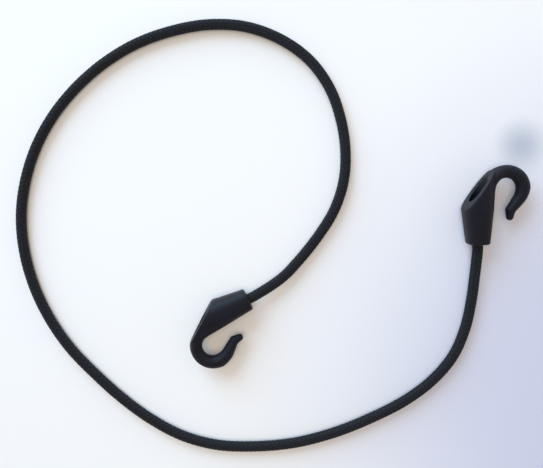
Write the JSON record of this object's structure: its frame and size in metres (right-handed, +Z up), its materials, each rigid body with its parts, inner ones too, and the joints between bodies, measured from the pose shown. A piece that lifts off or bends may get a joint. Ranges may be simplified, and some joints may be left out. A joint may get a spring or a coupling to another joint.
{
  "type": "bungee cord",
  "caption": "Elastic tie-down cord with a braided cover over rubber strands and an open moulded hook swivelling on each crimped end, lying in a loose loop.",
  "frame": {"origin": "on the surface the cord lies on, under the middle of the box round both hooks", "axes": "+Z up off the surface; +X from hook A's side to hook B's side along the longer side of the hooks' box; +Y completes the frame, so the view from +Z is the pictured one"},
  "size_m": [0.2907, 0.2483, 0.0186],
  "materials": {
    "hook_plastic": "satin moulded",
    "braid": "braided yarn",
    "core_rubber": "matt cut ends",
    "crimp_steel": "zinc plated"
  },
  "bodies": {
    "cord": {"braided_cover": "braid", "core_strand_1": "core_rubber", "core_strand_2": "core_rubber", "core_strand_3": "core_rubber", "core_strand_4": "core_rubber", "core_strand_5": "core_rubber", "core_strand_6": "core_rubber", "core_strand_7": "core_rubber", "crimp_ring_a": "crimp_steel"},
    "hook_a": {"hook_a": "hook_plastic"},
    "end_b": {"crimp_ring_b": "crimp_steel"},
    "hook_b": {"hook_b": "hook_plastic"}
  },
  "joints": [
    {"name": "swivel_a", "type": "hinge", "parent": "cord", "child": "hook_a", "pos_m": [-0.0611, -0.0179, 0.0067], "axis": [-0.8905, -0.442, 0.1077], "continuous": true},
    {"name": "stretch", "type": "slide", "parent": "cord", "child": "end_b", "axis": [-0.0349, 0.9994, 0], "range_m": [0, 0.4], "stiffness_N_per_m": 200, "deforming": ["braided_cover", "core_strand_1", "core_strand_2", "core_strand_3", "core_strand_4", "core_strand_5", "core_strand_6", "core_strand_7"]},
    {"name": "swivel_b", "type": "hinge", "parent": "end_b", "child": "hook_b", "pos_m": [0.067, 0.0145, 0.0067], "axis": [0.0347, -0.9936, -0.1077], "continuous": true}
  ]
}
